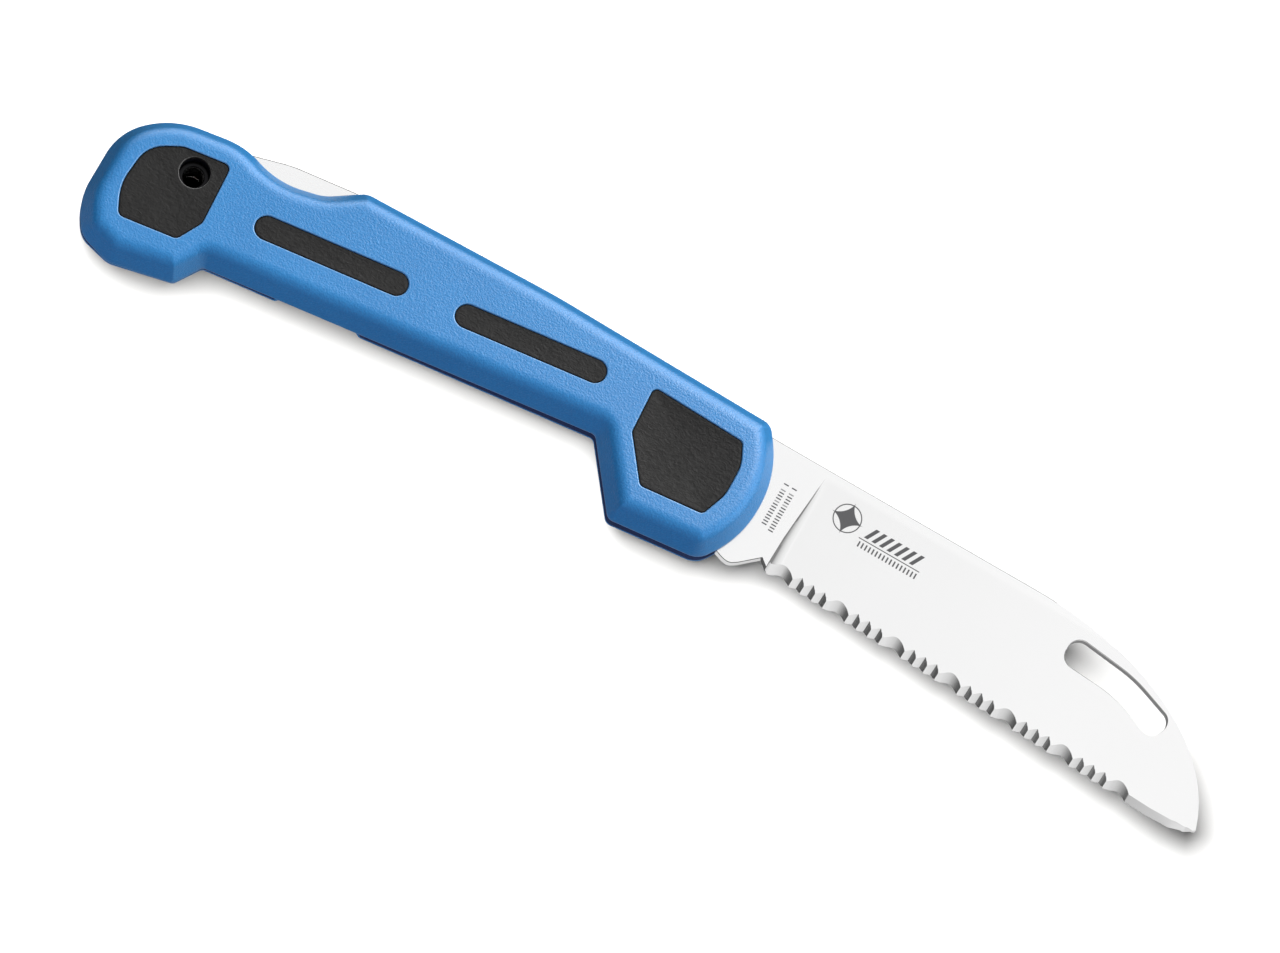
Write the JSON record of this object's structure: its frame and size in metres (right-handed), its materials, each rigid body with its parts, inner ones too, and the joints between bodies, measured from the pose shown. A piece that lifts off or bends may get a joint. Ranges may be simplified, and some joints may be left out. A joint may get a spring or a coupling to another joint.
{
  "type": "rigging knife",
  "caption": "Folding one-hand lock-back rigging knife with a blue moulded handle, black rubber inlays and a serrated sheepsfoot blade with a thumb slot, shown open.",
  "frame": {"origin": "centre of the open knife's bounding box, on the surface it lies on (the outer face of the left handle shell)", "axes": "+X along the blade's spine towards the tip, +Y towards the spine and the back of the handle, +Z through the thickness, up from the left side to the right side"},
  "size_m": [0.1962, 0.0304, 0.014],
  "materials": {
    "handle_nylon": "matt blue glass-filled nylon with a fine sand grain",
    "inlay_rubber": "charcoal rubber with a fine leather grain",
    "blade_steel": "satin stainless blade steel",
    "lock_steel": "satin stainless lock bar",
    "spring_steel": "hardened spring steel",
    "pin_steel": "stainless pin",
    "washer_bronze": "phosphor bronze",
    "tube_steel": "blackened tube",
    "spacer_nylon": "dark navy nylon"
  },
  "bodies": {
    "handle": {"handle_shell_right": "handle_nylon", "handle_shell_left": "handle_nylon", "front_pad_right": "inlay_rubber", "front_pad_left": "inlay_rubber", "front_stripe_right": "inlay_rubber", "front_stripe_left": "inlay_rubber", "rear_stripe_right": "inlay_rubber", "rear_stripe_left": "inlay_rubber", "butt_pad_right": "inlay_rubber", "butt_pad_left": "inlay_rubber", "lock_spring": "spring_steel", "blade_pivot_rivet": "pin_steel", "lock_bar_pin": "pin_steel", "spring_pin": "pin_steel", "pivot_washer_right": "washer_bronze", "pivot_washer_left": "washer_bronze", "lanyard_tube": "tube_steel", "butt_spacer": "spacer_nylon"},
    "blade": {"blade": "blade_steel"},
    "lock_bar": {"lock_bar": "lock_steel"}
  },
  "joints": [
    {"name": "blade_pivot", "type": "hinge", "parent": "handle", "child": "blade", "pos_m": [0.00239, 0.00327, 0.007], "axis": [0, 0, -1], "range_deg": [0, 169]},
    {"name": "lock_bar_rock", "type": "hinge", "parent": "handle", "child": "lock_bar", "pos_m": [-0.03961, 0.01127, 0.007], "axis": [0, 0, 1], "range_deg": [0, 3.2], "stiffness_Nm_per_rad": 0.5, "springref_deg": -9.17, "deforming": ["lock_spring"]}
  ]
}
